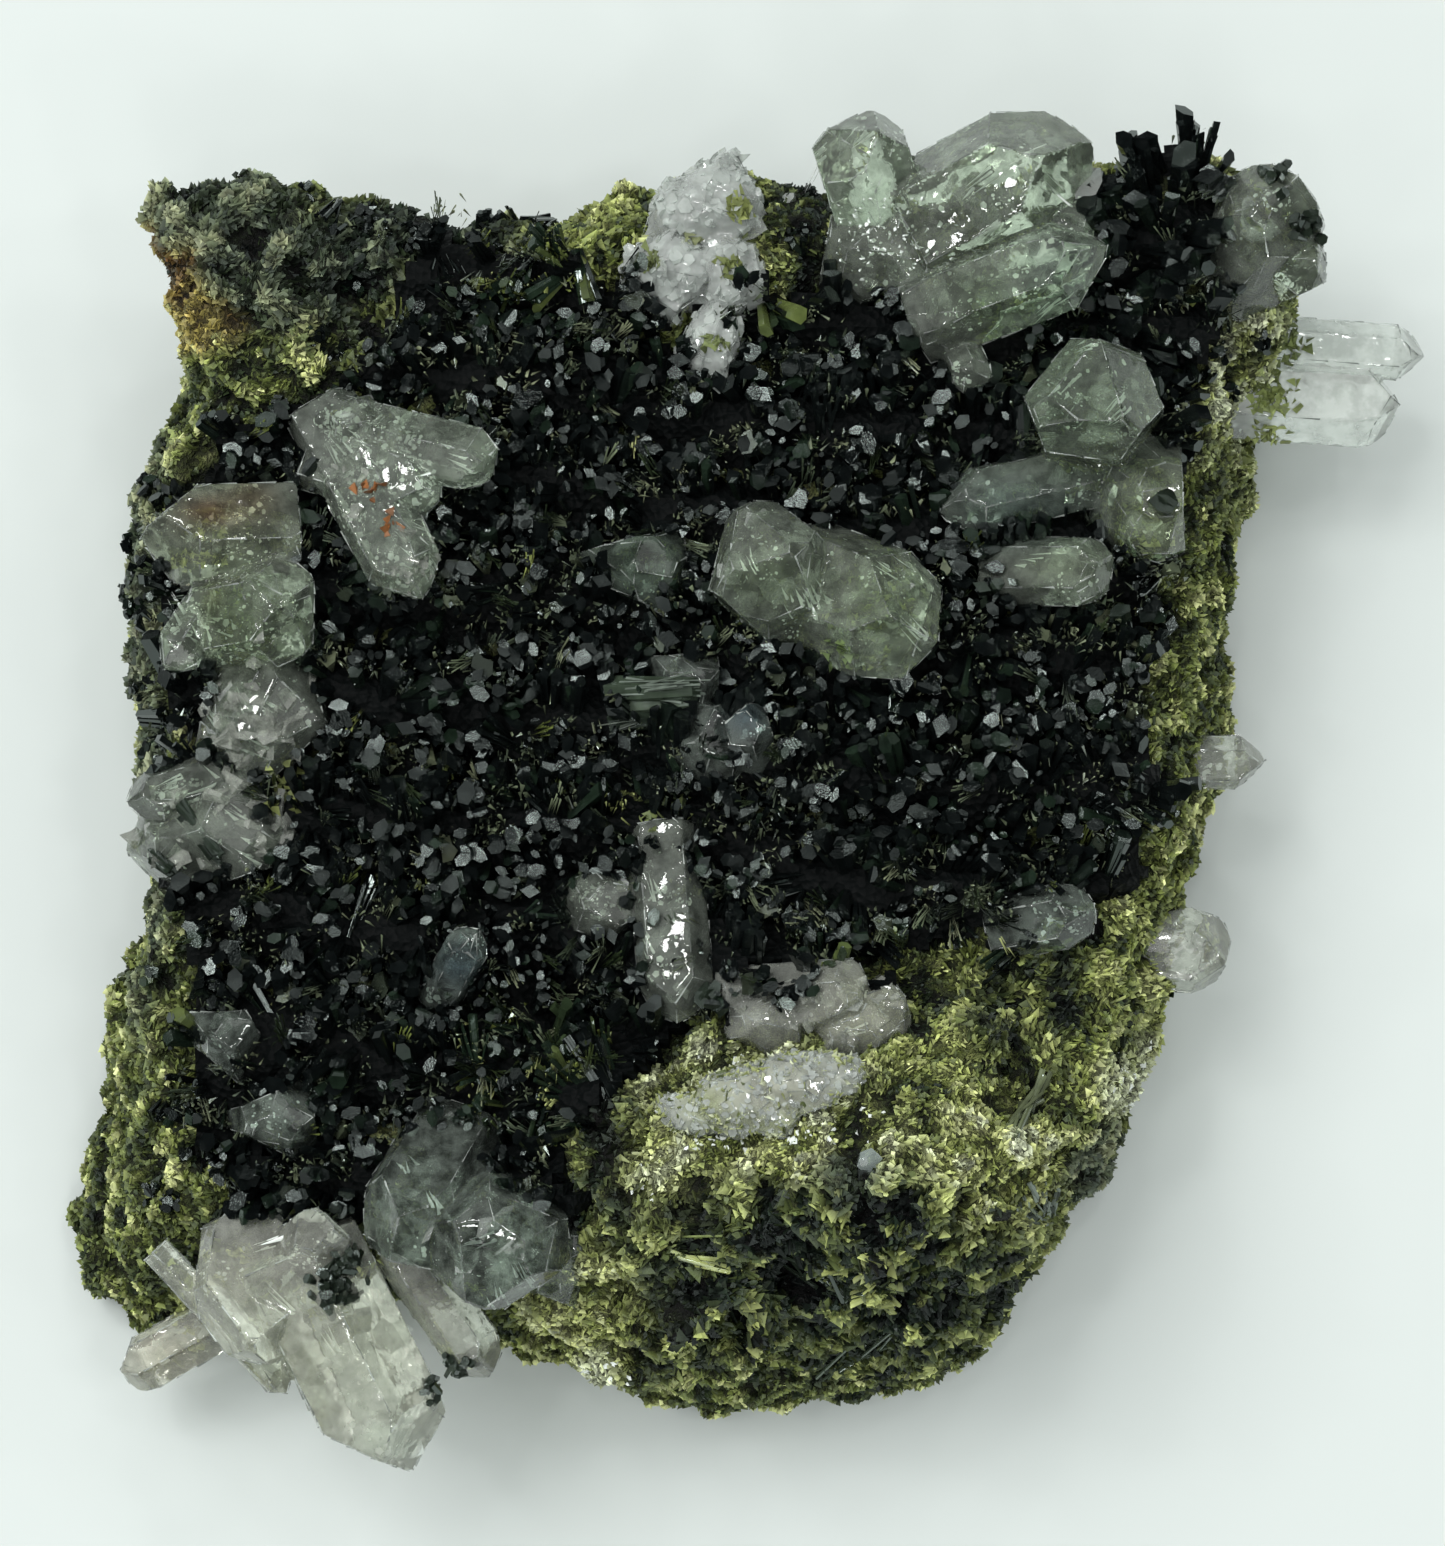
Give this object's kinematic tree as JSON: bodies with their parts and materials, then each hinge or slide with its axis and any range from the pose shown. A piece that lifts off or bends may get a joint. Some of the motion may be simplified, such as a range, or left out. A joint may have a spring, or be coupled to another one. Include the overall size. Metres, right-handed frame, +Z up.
{
  "type": "epidote crystal cluster",
  "caption": "Slab of green epidote rock with a druse of dark epidote prisms over its top and clear, smoky and milky quartz crystals standing in it.",
  "frame": {"origin": "on the resting face, under the middle of the slab", "axes": "+Z up, away from the resting face; +Y towards the back edge of the slab, +X to the right as the picture shows it"},
  "size_m": [0.1301, 0.1227, 0.0417],
  "materials": {
    "green_epidote_rock": "granular, rough, matt yellow-green rock with brown stains",
    "dark_epidote": "glassy blackish-green crystal faces with fine striations",
    "clear_quartz": "clear to milky crystal with veils and fractures",
    "smoky_quartz": "grey-green crystal clouded by fine epidote needles",
    "white_quartz": "white, granular, glittering"
  },
  "bodies": {
    "root": {"matrix": "green_epidote_rock", "epidote_druse": "dark_epidote", "quartz_centre_pair": "clear_quartz", "quartz_back_left_blade": "clear_quartz", "quartz_left_cluster": "clear_quartz", "quartz_back_cluster": "clear_quartz", "quartz_back_right_gem": "clear_quartz", "quartz_far_right_pair": "clear_quartz", "quartz_right_cluster": "clear_quartz", "quartz_right_small": "clear_quartz", "quartz_small_centre": "smoky_quartz", "quartz_centre_low": "smoky_quartz", "quartz_front_blade": "clear_quartz", "quartz_front_mass": "clear_quartz", "quartz_hump_patch": "white_quartz", "quartz_back_vein": "white_quartz", "quartz_front_left_cluster": "clear_quartz", "quartz_front_left_under": "clear_quartz", "quartz_front_smoky": "smoky_quartz", "quartz_right_edge_low": "clear_quartz", "quartz_right_edge_tip": "clear_quartz", "quartz_right_sunken": "smoky_quartz", "quartz_left_sunken_back": "smoky_quartz", "quartz_left_sunken_front": "smoky_quartz", "quartz_blue_spike": "smoky_quartz"}
  },
  "joints": []
}
